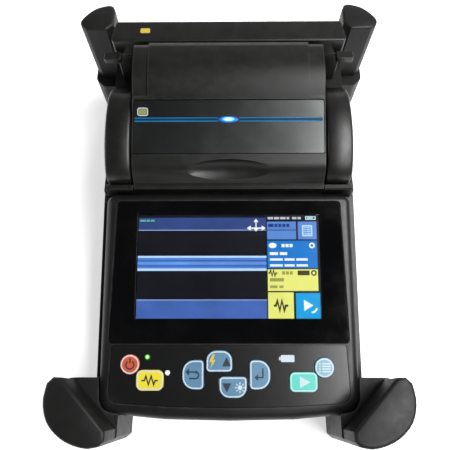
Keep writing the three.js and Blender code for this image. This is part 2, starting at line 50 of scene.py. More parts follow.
EDGE_WEAR_HIGHLIGHT_REACH = 0.0009  # how far in from an edge the rubbed wear and the painted edge highlight show, in metres
SWELL_HEIGHT = 0.0002  # the slow unevenness of a moulded face, in metres
TOOL_LINE_HEIGHT = 0.00003
WELD_REACH = 2e-6  # joins the facets' shared corners, in metres
FLAT_ANGLE = math.radians(0.6)  # facets closer than this are one face
CAMERA_ANGLES = (21.15, -1.3, -1.31)  # pitch, yaw and roll in degrees
CAMERA_PLACE = (0, -0.0981, 0.282)
CAMERA_LENS = 36.69  # mm, on the sensor below
CAMERA_SENSOR = 36.0

# The screen and keypad face: a plane tilted up towards the rear.
PANEL_TILT = math.radians(11.7)
PANEL_CENTRE = Vector((0, -32.1, 53.4))
PANEL = (
    Matrix.Translation(PANEL_CENTRE * MM)
    @ Matrix.Rotation(PANEL_TILT, 4, "X")
    @ Matrix.Scale(MM, 4)
)

# The label plate on the wind cover: its lower edge and its slope.
LABEL_LOW = (21.9, 73.7)
LABEL_HIGH = (49.3, 82.4)
LABEL_SLOPE = math.atan2(LABEL_HIGH[1] - LABEL_LOW[1], LABEL_HIGH[0] - LABEL_LOW[0])
LABEL = (
    Matrix.Translation(Vector((0, LABEL_LOW[0], LABEL_LOW[1])) * MM)
    @ Matrix.Rotation(LABEL_SLOPE, 4, "X")
    @ Matrix.Scale(MM, 4)
)


# ---- materials ------------------------------------------------------------------------------


def new_material(name):
    mat = bpy.data.materials.new(name)
    mat.use_nodes = True
    tree = mat.node_tree
    bsdf = tree.nodes["Principled BSDF"]
    return mat, tree, bsdf


def node(tree, kind, **values):
    made = tree.nodes.new(kind)
    for key, value in values.items():
        setattr(made, key, value)
    return made


def noise(tree, coords, scale, detail=3.0, roughness=0.5):
    made = node(tree, "ShaderNodeTexNoise")
    made.inputs["Scale"].default_value = scale
    made.inputs["Detail"].default_value = detail
    made.inputs["Roughness"].default_value = roughness
    tree.links.new(coords, made.inputs["Vector"])
    return made.outputs["Fac"]


def ramp(tree, fac, stops):
    made = node(tree, "ShaderNodeValToRGB")
    elements = made.color_ramp.elements
    while len(elements) < len(stops):
        elements.new(0.5)
    for element, (place, color) in zip(elements, stops):
        element.position = place
        element.color = (*color, 1)
    tree.links.new(fac, made.inputs["Fac"])
    return made.outputs["Color"]


def remap(tree, value, low, high, to_low, to_high):
    made = node(tree, "ShaderNodeMapRange")
    keys = ("From Min", "From Max", "To Min", "To Max")
    for key, number in zip(keys, (low, high, to_low, to_high)):
        made.inputs[key].default_value = number
    tree.links.new(value, made.inputs["Value"])
    return made.outputs["Result"]


def bump(tree, height, strength, distance, below=None):
    made = node(tree, "ShaderNodeBump")
    made.inputs["Strength"].default_value = strength
    made.inputs["Distance"].default_value = distance
    tree.links.new(height, made.inputs["Height"])
    if below is not None:
        tree.links.new(below, made.inputs["Normal"])
    return made.outputs["Normal"]


def worn_and_highlit_edges(tree, coords):
    """Where an outer edge is paled, partly as rubbed wear and partly as a painted highlight:
    strongest on the edge itself, broken up by noise.
    """
    inward = node(tree, "ShaderNodeAmbientOcclusion")
    inward.inside = True
    inward.only_local = True
    inward.samples = 4
    inward.inputs["Distance"].default_value = EDGE_WEAR_HIGHLIGHT_REACH
    near_edge = remap(tree, inward.outputs["AO"], 0.94, 0.6, 0.0, 1.0)
    patchy = remap(tree, noise(tree, coords, 120, 5, 0.7), 0.38, 0.62, 0.15, 1.0)
    both = node(tree, "ShaderNodeMath", operation="MULTIPLY")
    tree.links.new(near_edge, both.inputs[0])
    tree.links.new(patchy, both.inputs[1])
    return both.outputs["Value"]


def mix_colour(tree, factor, first, second):
    made = node(tree, "ShaderNodeMix", data_type="RGBA")
    sockets = {socket.identifier: socket for socket in made.inputs}
    tree.links.new(factor, sockets["Factor_Float"])
    tree.links.new(first, sockets["A_Color"])
    sockets["B_Color"].default_value = (*second, 1)
    return next(socket for socket in made.outputs if socket.identifier == "Result_Color")


def moulded(name, dark, pale, rough, grain, height=0.00005, strength=0.35, coat=0.0,
            edge_wear_highlight=None, specular=0.5, swell=0.06):
    """Moulded plastic or rubber: a fine cast grain, soft shade changes, rubbed patches and pale
    edges that are partly wear and partly a painted highlight.
    """
    mat, tree, bsdf = new_material(name)
    coords = node(tree, "ShaderNodeTexCoord").outputs["Object"]
    cloud = noise(tree, coords, 28, 5, 0.6)
    fine = noise(tree, coords, grain, 2, 0.5)
    rubbed = noise(tree, coords, 170, 6, 0.7)
    colour = ramp(tree, cloud, [(0.3, dark), (0.75, pale)])
    # Pale edge colour: partly rubbed wear, partly a painted highlight along convex edges.
    if edge_wear_highlight:
        colour = mix_colour(tree, worn_and_highlit_edges(tree, coords), colour, edge_wear_highlight)
    tree.links.new(colour, bsdf.inputs["Base Color"])
    tree.links.new(remap(tree, rubbed, 0.3, 0.7, *rough), bsdf.inputs["Roughness"])
    pores = bump(tree, fine, strength, height)
    tree.links.new(bump(tree, rubbed, swell, SWELL_HEIGHT, pores), bsdf.inputs["Normal"])
    bsdf.inputs["Specular IOR Level"].default_value = specular
    if coat:
        bsdf.inputs["Coat Weight"].default_value = coat
        bsdf.inputs["Coat Roughness"].default_value = 0.25
    return mat


def glossy(name, color, rough, specular, metallic=0.0):
    """A polished face with a few faint smears."""
    mat, tree, bsdf = new_material(name)
    coords = node(tree, "ShaderNodeTexCoord").outputs["Object"]
    smear = noise(tree, coords, 45, 6, 0.65)
    shade = [(0.45, color), (0.85, tuple(c * 1.15 + 0.003 for c in color))]
    tree.links.new(ramp(tree, smear, shade), bsdf.inputs["Base Color"])
    tree.links.new(remap(tree, smear, 0.4, 0.75, *rough), bsdf.inputs["Roughness"])
    bsdf.inputs["Specular IOR Level"].default_value = specular
    bsdf.inputs["Metallic"].default_value = metallic
    return mat


def metal(name, color, rough, streak=(1, 1, 1)):
    """Machined metal with fine tool lines."""
    mat, tree, bsdf = new_material(name)
    coords = node(tree, "ShaderNodeTexCoord").outputs["Object"]
    stretch = node(tree, "ShaderNodeMapping")
    stretch.inputs["Scale"].default_value = streak
    tree.links.new(coords, stretch.inputs["Vector"])
    lines = noise(tree, stretch.outputs["Vector"], 900, 3, 0.6)
    shade = [(0.3, tuple(c * 0.8 for c in color)), (0.7, color)]
    tree.links.new(ramp(tree, lines, shade), bsdf.inputs["Base Color"])
    tree.links.new(remap(tree, lines, 0.3, 0.7, rough * 0.8, rough * 1.3), bsdf.inputs["Roughness"])
    tree.links.new(bump(tree, lines, 0.15, TOOL_LINE_HEIGHT), bsdf.inputs["Normal"])
    bsdf.inputs["Metallic"].default_value = 1.0
    return mat


def lit(name, color, strength, mottled=0.0):
    """A face that glows, such as a display tile or a lamp."""
    mat, tree, bsdf = new_material(name)
    coords = node(tree, "ShaderNodeTexCoord").outputs["Object"]
    cloud = noise(tree, coords, 60, 3, 0.5)
    low = tuple(c * (1 - mottled) for c in color)
    tree.links.new(ramp(tree, cloud, [(0.3, low), (0.7, color)]), bsdf.inputs["Emission Color"])
    unlit = [(0.3, tuple(c * 0.04 for c in low)), (0.7, tuple(c * 0.05 for c in color))]
    tree.links.new(ramp(tree, cloud, unlit), bsdf.inputs["Base Color"])
    bsdf.inputs["Emission Strength"].default_value = strength
    bsdf.inputs["Specular IOR Level"].default_value = 0.12
    bsdf.inputs["Roughness"].default_value = 0.3
    return mat


def glow(name, centre, reach, core, edge, strength):
    """A lamp behind a lens: bright at its centre, fading outwards in its own colour."""
    mat, tree, bsdf = new_material(name)
    coords = node(tree, "ShaderNodeTexCoord").outputs["Object"]
    local = node(tree, "ShaderNodeMapping", vector_type="TEXTURE")
    local.inputs["Location"].default_value = centre
    local.inputs["Scale"].default_value = (reach[0], reach[1], 1)
    tree.links.new(coords, local.inputs["Vector"])
    flat = node(tree, "ShaderNodeVectorMath", operation="MULTIPLY")
    flat.inputs[1].default_value = (1, 1, 0)
    tree.links.new(local.outputs["Vector"], flat.inputs[0])
    length = node(tree, "ShaderNodeVectorMath", operation="LENGTH")
    tree.links.new(flat.outputs["Vector"], length.inputs[0])
    stops = [(0.0, core), (0.28, core), (0.6, edge), (1.0, tuple(c * 0.04 for c in edge))]
    tree.links.new(ramp(tree, length.outputs["Value"], stops), bsdf.inputs["Emission Color"])
    shade = [(0.0, tuple(c * 0.05 for c in core)), (1.0, tuple(c * 0.04 for c in edge))]
    tree.links.new(ramp(tree, length.outputs["Value"], shade), bsdf.inputs["Base Color"])
    bsdf.inputs["Emission Strength"].default_value = strength
    bsdf.inputs["Roughness"].default_value = 0.25
    return mat


def clear_glass(name):
    mat, tree, bsdf = new_material(name)
    coords = node(tree, "ShaderNodeTexCoord").outputs["Object"]
    smear = noise(tree, coords, 45, 6, 0.65)
    tree.links.new(remap(tree, smear, 0.55, 0.8, 0.0, 0.05), bsdf.inputs["Roughness"])
    bsdf.inputs["Base Color"].default_value = (1, 1, 1, 1)
    bsdf.inputs["Transmission Weight"].default_value = 1.0
    bsdf.inputs["IOR"].default_value = 1.28
    return mat


# The pale edge colours given below are partly rubbed wear and partly a painted edge highlight.
SHELL = moulded(
    "shell_plastic", (0.0042, 0.0042, 0.0038), (0.0075, 0.0075, 0.0066), (0.33, 0.44), 1500,
    edge_wear_highlight=(0.03, 0.03, 0.027), specular=0.42,
)
RUBBER = moulded(
    "bumper_rubber", (0.004, 0.004, 0.0038), (0.0085, 0.0085, 0.008), (0.42, 0.56), 900, 0.00008,
    edge_wear_highlight=(0.026, 0.026, 0.025), specular=0.28,
)
HOUSING = moulded(
    "housing_plastic", (0.0045, 0.0045, 0.0045), (0.008, 0.008, 0.008), (0.32, 0.44), 1700,
    edge_wear_highlight=(0.028, 0.028, 0.027), specular=0.36, swell=0.03,
)
FILM = moulded(
    "keypad_film", (0.0036, 0.0038, 0.0038), (0.005, 0.0052, 0.0052), (0.25, 0.27), 2400, 0.00002,
    specular=0.5, swell=0.008,
)
GLASS_BLACK = glossy("glass_black_border", (0.0014, 0.0015, 0.0018), (0.025, 0.1), 0.35)
LABEL_BLACK = glossy("label_black", (0.1, 0.106, 0.103), (0.25, 0.28), 0.5, 1.0)
CLEAR = clear_glass("cover_glass")
STEEL = metal("machined_steel", (0.56, 0.57, 0.59), 0.28, (1, 12, 1))
DARK_METAL = metal("black_anodised", (0.05, 0.052, 0.056), 0.4)
BOARD = moulded("circuit_board", (0.01, 0.09, 0.035), (0.02, 0.14, 0.05), (0.35, 0.5), 700)
WHITE = moulded("white_plastic", (0.6, 0.63, 0.66), (0.75, 0.78, 0.8), (0.3, 0.4), 2000)


def ink(name, dark, pale):
    """A printed sign: smooth and matt."""
    return moulded(name, dark, pale, (0.35, 0.45), 2600, 0.00002)


PRINT_PALE = ink("pale_print", (0.42, 0.5, 0.54), (0.55, 0.62, 0.66))
PRINT_DARK = ink("dark_print", (0.012, 0.02, 0.035), (0.02, 0.03, 0.05))
PRINT_OLIVE = ink("olive_print", (0.2, 0.19, 0.07), (0.3, 0.28, 0.1))
PRINT_YELLOW = ink("yellow_print", (0.52, 0.38, 0.03), (0.62, 0.46, 0.05))

BUTTON_COLOURS = {
    "button_power": (0.42, 0.062, 0.014),
    "button_heat": (0.6, 0.5, 0.018),
    "button_back": (0.07, 0.17, 0.27),
    "button_up": (0.07, 0.17, 0.27),
    "button_down": (0.07, 0.17, 0.27),
    "button_enter": (0.07, 0.17, 0.27),
    "button_start": (0.04, 0.44, 0.37),
    "button_menu": (0.12, 0.28, 0.36),
}


# ---- mesh helpers ---------------------------------------------------------------------------


def on_circle(x, y, radius, angle):
    return x + radius * math.cos(angle), y + radius * math.sin(angle)


def circle(x, y, radius, count):
    step = 2 * math.pi / count
    return [on_circle(x, y, radius, i * step) for i in range(count)]


def rounded(corners, steps=7):
    """A closed outline from corners (x, y, radius), running anticlockwise."""
    outline = []
    count = len(corners)
    for i, corner in enumerate(corners):
        x, y, radius = (*corner, 0)[:3]
        here = Vector((x, y))
        if radius == 0:
            outline.append((x, y))
            continue
        back = (Vector(corners[i - 1][:2]) - here).normalized()
        ahead = (Vector(corners[(i + 1) % count][:2]) - here).normalized()
        half = back.angle(ahead) / 2
        reach = radius / math.tan(half)
        centre = here + (back + ahead).normalized() * (radius / math.sin(half))
        start = here + back * reach - centre
        end = here + ahead * reach - centre
        sweep = math.atan2(start.cross(end), start.dot(end))
        for k in range(steps + 1):
            arm = Matrix.Rotation(sweep * k / steps, 2) @ start
            outline.append((centre.x + arm.x, centre.y + arm.y))
    return outline


def rect(x, y, width, height, radius=0.0, steps=5):
    w, h = width / 2, height / 2
    signs = ((-1, -1), (1, -1), (1, 1), (-1, 1))
    return rounded([(x + i * w, y + j * h, radius) for i, j in signs], steps)


def inset(outline, distance):
    """The outline moved inwards, corner by corner."""
    moved = []
    count = len(outline)
    for i, point in enumerate(outline):
        here = Vector(point)
        into = (here - Vector(outline[i - 1])).normalized()
        out = (Vector(outline[(i + 1) % count]) - here).normalized()
        normal = Vector((-into.y - out.y, into.x + out.x)).normalized()
        along = max(0.3, normal.x * -into.y + normal.y * into.x)
        moved.append(tuple(here + normal * (distance / along)))
    return moved


def add_prism(bm, outline, low, high, place):
    """A closed prism on a plan outline, between two heights of the given plane."""
    bottom = [bm.verts.new(place @ Vector((x, y, low))) for x, y in outline]
    top = [bm.verts.new(place @ Vector((x, y, high))) for x, y in outline]
    count = len(outline)
    bm.faces.new(top)
    bm.faces.new(bottom[::-1])
    for i in range(count):
        j = (i + 1) % count
        bm.faces.new((bottom[i], bottom[j], top[j], top[i]))


def ellipse(x, y, half_width, half_height, count):
    return [(x + half_width * px, y + half_height * py) for px, py in circle(0, 0, 1, count)]


def add_dome(bm, outline, centre, rings, place):
    """A low closed dome: the outline shrunk towards its centre at each (share, height)."""
    cx, cy = centre
    loops = []
    for share, height in [(1.0, -0.1), *rings]:
        points = [(cx + share * (x - cx), cy + share * (y - cy)) for x, y in outline]
        loops.append([bm.verts.new(place @ Vector((x, y, height))) for x, y in points])
    count = len(outline)
    for a, b in zip(loops, loops[1:]):
        for i in range(count):
            j = (i + 1) % count
            bm.faces.new((a[i], a[j], b[j], b[i])).smooth = True
    bm.faces.new(loops[-1]).smooth = True
    bm.faces.new(loops[0][::-1])


def add_ring(bm, outer, inner, low, high, place):
    """A closed band between two outlines of as many points each."""
    loops = [
        [bm.verts.new(place @ Vector((x, y, z))) for x, y in outline]
        for outline, z in ((outer, low), (outer, high), (inner, high), (inner, low))
    ]
    count = len(outer)
    for a, b in zip(loops, loops[1:] + loops[:1]):
        for i in range(count):
            j = (i + 1) % count
            bm.faces.new((a[i], a[j], b[j], b[i]))


def piece(name, bm, material, body, width=0.0, segments=2):
    """Turns a bmesh into a piece that rides on a body, with its edges eased by a bevel."""
    bmesh.ops.recalc_face_normals(bm, faces=bm.faces)
    mesh = bpy.data.meshes.new(name)
    bm.to_mesh(mesh)
    bm.free()
    obj = bpy.data.objects.new(name, mesh)
    scene.collection.objects.link(obj)
    mesh.materials.append(material)
    if width:
        ease(obj, width, segments)
    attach(obj, body)
    return obj


def ease(obj, width, segments, angle=32):
    """Rounds an object's sharp edges by a bevel modifier, in millimetres."""
    for polygon in obj.data.polygons:
        polygon.use_smooth = True
    bevel = obj.modifiers.new("edges", "BEVEL")
    bevel.width = width * MM
    bevel.segments = segments
    bevel.limit_method = "ANGLE"
    bevel.angle_limit = math.radians(angle)
    bevel.harden_normals = True
    bevel.use_clamp_overlap = True


def dress(name, material, width=0.0, segments=3, angle=32):
    """Gives a CAD node its material, joins its facets and rounds its sharp edges."""
    obj = nodes[name]
    mesh = obj.data
    normals = mesh.attributes.get("custom_normal")
    if normals:
        mesh.attributes.remove(normals)
    mesh.materials.clear()
    mesh.materials.append(material)
    weld = obj.modifiers.new("weld", "WELD")
    weld.merge_threshold = WELD_REACH
    planar = obj.modifiers.new("planar", "DECIMATE")
    planar.decimate_type = "DISSOLVE"
    planar.angle_limit = FLAT_ANGLE
    if width:
        ease(obj, width, segments, angle)


LED_PLACE = PANEL @ Vector((-40.9, -45.8, 0))
LIGHT_BAR_Y = 18.2
LIGHT_BAR_PLACE = LABEL @ Vector((0, LIGHT_BAR_Y, 0))

# ---- the CAD nodes that stay ------------------------------------------------------------------

dress("monitor_housing", HOUSING, 0.3, 2, 40)
dress("keypad_sheet", FILM)
dress("lower_case", SHELL, 0.9, 3)
dress("deck_plate", SHELL, 0.6, 3)
dress("wind_cover", SHELL, 0.5, 3, 32)
dress("cover_label_plate", LABEL_BLACK, 0.15, 2)
dress("cover_light_bar", WHITE, 0.1, 2)
dress("cover_lamp", WHITE, 0.3, 2)
dress("cover_hinge_pin", STEEL, 0.3, 2)
for side in ("left", "right"):
    dress(f"cover_wing_{side}", SHELL, 0.5, 3)
    dress(f"hinge_post_{side}", DARK_METAL, 0.3, 2)
    dress(f"heater_lid_tab_{side}", SHELL, 0.5, 3)
    dress(f"bumper_front_{side}", RUBBER, 0.9, 4)
    dress(f"bumper_rear_{side}", RUBBER, 0.9, 4)
    dress(f"fibre_stage_{side}", DARK_METAL, 0.3, 2)
    dress(f"fibre_holder_{side}", STEEL, 0.2, 2)
    dress(f"holder_lid_{side}", FILM, 0.4, 2)
for side in ("front", "rear"):
    dress(f"electrode_{side}", STEEL)
    dress(f"electrode_clamp_{side}", DARK_METAL, 0.3, 2)
dress("v_groove_block", DARK_METAL, 0.15, 2)
dress("microscope_unit", DARK_METAL, 0.4, 2)
dress("main_board", BOARD, 0.1, 1)
dress("battery_pack", SHELL, 0.6, 3)
dress("battery_latch", FILM, 0.3, 2)
dress("port_door", RUBBER, 0.4, 2)
dress("dc_jack", FILM, 0.2, 2)
dress("usb_port", STEEL, 0.2, 2)
dress("heater_body", SHELL, 0.6, 3)
dress("heater_plate", STEEL, 0.2, 2)
dress("heater_lid", SHELL, 0.7, 3)
dress("lcd_panel", GLASS_BLACK, 0.2, 2)
for i in range(4):
    dress(f"case_screw_{i + 1}", STEEL, 0.2, 2)
LED_REACH = (1.3 * MM, 1.3 * MM)
LED_GREEN = glow("led_green_lens", LED_PLACE, LED_REACH, (0.85, 1.0, 0.4), (0.05, 0.42, 0.04), 2.2)
dress("led_power", LED_GREEN, 0.3, 3)
dress("led_heat", WHITE, 0.3, 3)

# ---- screen ---------------------------------------------------------------------------------

DISPLAY_W = 95.0
DISPLAY_H = 53.9
GLASS_THICK = 1.3
WINDOW_EASE = 0.4


def make_screen():
    outer = rounded([(-60.6, -39.1, 2), (60.6, -39.1, 2), (58.6, 33.8, 2), (-58.6, 33.8, 2)], 7)
    half_w, half_h = DISPLAY_W / 2 + WINDOW_EASE, DISPLAY_H / 2 + WINDOW_EASE
    window = rect(0, 0, 2 * half_w, 2 * half_h, 0.6, 7)
    bm = bmesh.new()
    add_ring(bm, outer, window, -GLASS_THICK, 0, PANEL)
    border = piece("screen_border", bm, GLASS_BLACK, "chassis", 0.15, 2)
    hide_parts("screen_glass")
    bm = bmesh.new()
    add_prism(bm, inset(window, 0.03), -GLASS_THICK, -0.01, PANEL)
    piece("screen_window", bm, CLEAR, "chassis")


# ---- picture on the display -------------------------------------------------------------------
# Places on the display are fractions of its width and height from its top left corner.

PICTURE_LEVEL = -1.58
SIGN_TOP = PICTURE_LEVEL + 0.08


def on_display(u, v):
    return (u - 0.5) * DISPLAY_W, (0.5 - v) * DISPLAY_H


def tile_outline(u0, v0, u1, v1):
    x0, y1 = on_display(u0, v0)
    x1, y0 = on_display(u1, v1)
    return [(x0, y0), (x1, y0), (x1, y1), (x0, y1)]


def display_tile(name, colour, strength, tiles, layer=1, mottled=0.0):
    """Lit rectangles or outlines of one colour; a later layer lies on top of an earlier one."""
    bm = bmesh.new()
    for tile in tiles:
        if isinstance(tile[0], float):
            outline = tile_outline(*tile)
        else:
            outline = [on_display(*point) for point in tile]
        add_prism(bm, outline, PICTURE_LEVEL, PICTURE_LEVEL + 0.02 * layer, PANEL)
    material = lit("display_" + name, colour, strength, mottled)
    piece("display_" + name, bm, material, "chassis")


def arrow(u, v, du, dv, size):
    """A small triangle whose point is at (u, v) and whose base lies du, dv behind it."""
    side = (dv * size, -du * size)
    return [(u, v), (u - du + side[0], v - dv + side[1]), (u - du - side[0], v - dv - side[1])]


def stroke(points, width):
    """A polyline on a plane, as an outline of the given width."""
    left, right = [], []
    for i, point in enumerate(points):
        here = Vector(point)
        into = (here - Vector(points[max(i - 1, 0)])).normalized() if i else None
        out = (Vector(points[i + 1]) - here).normalized() if i + 1 < len(points) else into
        into = into or out
        normal = Vector((-into.y - out.y, into.x + out.x)).normalized()
        along = max(0.35, normal.x * -into.y + normal.y * into.x)
        left.append(tuple(here + normal * (width / 2 / along)))
        right.append(tuple(here - normal * (width / 2 / along)))
    return right + left[::-1]


def words(u, v, widths, height=0.02, space=0.01):
    """A row of plain blocks that stands for a line of small print."""
    row = []
    for width in widths:
        row.append((u, v, u + width, v + height))
        u += width + space
    return row


def ring_of(u, v, radius):
    x, y = on_display(u, v)
    return circle(x, y, radius, 24), circle(x, y, radius * 0.5, 24)


def picture_mesh(name, colour, strength, tiles=(), outlines=(), rings=()):
    """Small signs on the display: tiles, free outlines in mm and rings, all of one colour."""
    bm = bmesh.new()
    for tile in tiles:
        add_prism(bm, tile_outline(*tile), PICTURE_LEVEL, SIGN_TOP, PANEL)
    for outline in outlines:
        add_prism(bm, outline, PICTURE_LEVEL, SIGN_TOP, PANEL)
    for outer, inner in rings:
        add_ring(bm, outer, inner, PICTURE_LEVEL, SIGN_TOP, PANEL)
    piece("display_" + name, bm, lit("display_" + name, colour, strength), "chassis")


VIEW_RIGHT = 0.706  # right edge of the camera picture on the display


def make_camera_picture():
    """The view of the two fibre ends: a bright fibre on a dark ground between two blue bands."""
    display_tile("back", (0.011, 0.011, 0.018), 0.85, [(0.0, 0.0, 1.0, 1.0)], 1, 0.35)
    display_tile("band_top", (0.04, 0.075, 0.26), 0.95, [(0.0, 0.03, VIEW_RIGHT, 0.15)], 2, 0.3)
    display_tile("band_low", (0.065, 0.15, 0.5), 0.95, [(0.0, 0.83, VIEW_RIGHT, 1.0)], 2, 0.25)
    display_tile("fibre", (0.085, 0.24, 0.72), 1.0, [(0.0, 0.405, VIEW_RIGHT, 0.55)], 2, 0.15)
    dim = [(0.0, 0.447, VIEW_RIGHT, 0.459), (0.0, 0.496, VIEW_RIGHT, 0.508)]
    display_tile("fibre_dim", (0.04, 0.13, 0.47), 1.0, dim, 3, 0.2)
    core = [(0.0, 0.466, VIEW_RIGHT, 0.488)]
    display_tile("fibre_core", (0.15, 0.36, 0.85), 1.0, core, 3, 0.3)
    rims = [(0.0, 0.405, VIEW_RIGHT, 0.424), (0.0, 0.527, VIEW_RIGHT, 0.55)]
    display_tile("fibre_lines", (0.5, 0.72, 0.97), 1.0, rims, 3)
    edges = [(0.0, 0.15, VIEW_RIGHT, 0.157), (0.0, 0.823, VIEW_RIGHT, 0.83)]
    display_tile("edge_lines", (0.34, 0.46, 0.85), 1.0, edges, 3)
    arrows = [
        (0.648, 0.065, 0.654, 0.13),
        (0.612, 0.128, 0.692, 0.14),
        arrow(0.651, 0.04, 0.0, -0.035, 0.4),
        arrow(0.6, 0.134, -0.022, 0.0, 1.2),
        arrow(0.704, 0.134, 0.022, 0.0, 1.2),
        arrow(0.651, 0.17, 0.0, 0.03, 0.4),
    ]
    display_tile("icons_white", (0.9, 0.94, 1.0), 1.0, arrows, 4)
    ready = words(0.008, 0.05, (0.03, 0.018, 0.022), 0.018, 0.005)
    display_tile("ready_bar", (0.16, 0.62, 0.42), 0.8, ready, 4)


def make_tiles():
    """The coloured menu tiles down the right of the display, with plain signs on them."""
    light = [(0.712, 0.07, 0.872, 0.15), (0.712, 0.157, 0.872, 0.245), (0.882, 0.07, 0.985, 0.245)]
    display_tile("tiles_light", (0.115, 0.275, 0.72), 1.0, light, 2, 0.15)
    display_tile("tiles_blue", (0.008, 0.2, 0.66), 1.0, [(0.712, 0.258, 0.985, 0.525)], 2, 0.12)
    display_tile("tile_sky", (0.005, 0.37, 0.8), 1.0, [(0.862, 0.762, 0.993, 1.0)], 2, 0.1)
    yellow = [(0.712, 0.535, 0.985, 0.742), (0.712, 0.755, 0.85, 1.0)]
    display_tile("tiles_yellow", (0.8, 0.82, 0.2), 1.05, yellow, 2, 0.08)
    clock = words(0.716, 0.025, (0.03, 0.028, 0.03, 0.014), 0.022, 0.006)
    charge = words(0.852, 0.025, (0.024, 0.018), 0.022, 0.006)
    picture_mesh("status", (0.6, 0.64, 0.74), 0.9, [*clock, *charge])
    x0, y0, x1, y1 = 0.925, 0.018, 0.982, 0.052
    cell_box = tile_outline(x0, y0, x1, y1)
    cell = [(x0 + 0.01, y0 + 0.012, x1 - 0.016, y1 - 0.012)]
    picture_mesh("battery", (0.6, 0.86, 0.9), 1.0, cell, (), [(cell_box, inset(cell_box, 0.45))])
    lines = words(0.725, 0.37, (0.045, 0.04), 0.028)
    lines += words(0.725, 0.43, (0.07, 0.055, 0.062), 0.022)
    lines += words(0.725, 0.487, (0.07, 0.055, 0.062), 0.022)
    count = words(0.79, 0.29, (0.017, 0.017, 0.017), 0.032, 0.005)
    blob = ellipse(*on_display(0.741, 0.305), 2.1, 1.4, 20)
    play = [on_display(*point) for point in ((0.905, 0.825), (0.905, 0.93), (0.955, 0.878))]
    bend = ((0.945, 0.945), (0.962, 0.935), (0.976, 0.905))
    tail = stroke([on_display(*point) for point in bend], 0.9)
    signs = [blob, play, tail]
    tiles = [*lines, *count]
    picture_mesh("signs_white", (0.88, 0.94, 1.0), 1.0, tiles, signs, [ring_of(0.957, 0.305, 1.5)])
    plate = tile_outline(0.905, 0.105, 0.962, 0.215)
    picture_mesh("list_plate", (0.5, 0.75, 0.95), 0.95, (), (), [(plate, inset(plate, 0.8))])
    rows = []
    for k in range(4):
        rows += words(0.917, 0.125 + 0.02 * k, (0.008, 0.022), 0.01, 0.004)
    picture_mesh("list_rows", (0.55, 0.78, 0.95), 0.9, rows)
    digits = words(0.718, 0.092, (0.03, 0.017, 0.017, 0.017, 0.017), 0.032, 0.005)
    picture_mesh("counter", (0.01, 0.05, 0.32), 0.8, digits)
    zig = []
    across = (0, 0.012, 0.02, 0.032, 0.044, 0.056, 0.064, 0.078)
    down = (0, 0, -0.045, 0.045, -0.045, 0.045, 0, 0)
    for u, v, size, width in ((0.742, 0.88, 1.0, 1.1), (0.716, 0.572, 0.62, 0.7)):
        points = [on_display(u + size * a, v + size * b) for a, b in zip(across, down)]
        zig.append(stroke(points, width))
    tag = [(0.875, 0.548, 0.94, 0.593)]
    picture_mesh("signs_dark", (0.07, 0.065, 0.03), 0.7, tag, zig, [ring_of(0.963, 0.571, 1.5)])
    print_rows = words(0.79, 0.555, (0.016, 0.016, 0.016), 0.032, 0.005)
    print_rows += words(0.724, 0.62, (0.075,), 0.032)
    print_rows += words(0.724, 0.69, (0.04, 0.022), 0.024)
    picture_mesh("print_olive", (0.42, 0.43, 0.12), 0.8, print_rows)


# ---- keypad -----------------------------------------------------------------------------------

SHEET_TOP = 0.0
BUTTON_TOP = 0.9


def key_outline(x0, y0, x1, y1, radii):
    """A key's outline, with a radius for each corner, anticlockwise from the lower left."""
    corners = ((x0, y0), (x1, y0), (x1, y1), (x0, y1))
    return rounded([(*corner, radius) for corner, radius in zip(corners, radii)], 9)


BUTTON_OUTLINES = {
    "button_power": circle(-49.4, -49.3, 4.9, 40),
    "button_heat": rect(-39.3, -56.9, 13.6, 9.9, 3, 7),
    "button_back": key_outline(-23.3, -61.3, -12.5, -47.1, (6, 2, 2, 6)),
    "button_up": key_outline(-11.4, -52.9, 1.7, -42.5, (2, 2, 5, 5)),
    "button_down": key_outline(-4.9, -65.3, 8.9, -55.1, (5, 5, 2, 2)),
    "button_enter": key_outline(10.2, -61.3, 20.6, -47.1, (2, 6, 6, 2)),
    "button_start": rect(36.9, -57.7, 13.8, 9.6, 2.6, 7),
    "button_menu": circle(47.4, -50.8, 4.9, 40),
}


def arc_points(x, y, radius, start, end, count):
    step = math.radians(end - start) / count
    first = math.radians(start)
    return [on_circle(x, y, radius, first + i * step) for i in range(count + 1)]


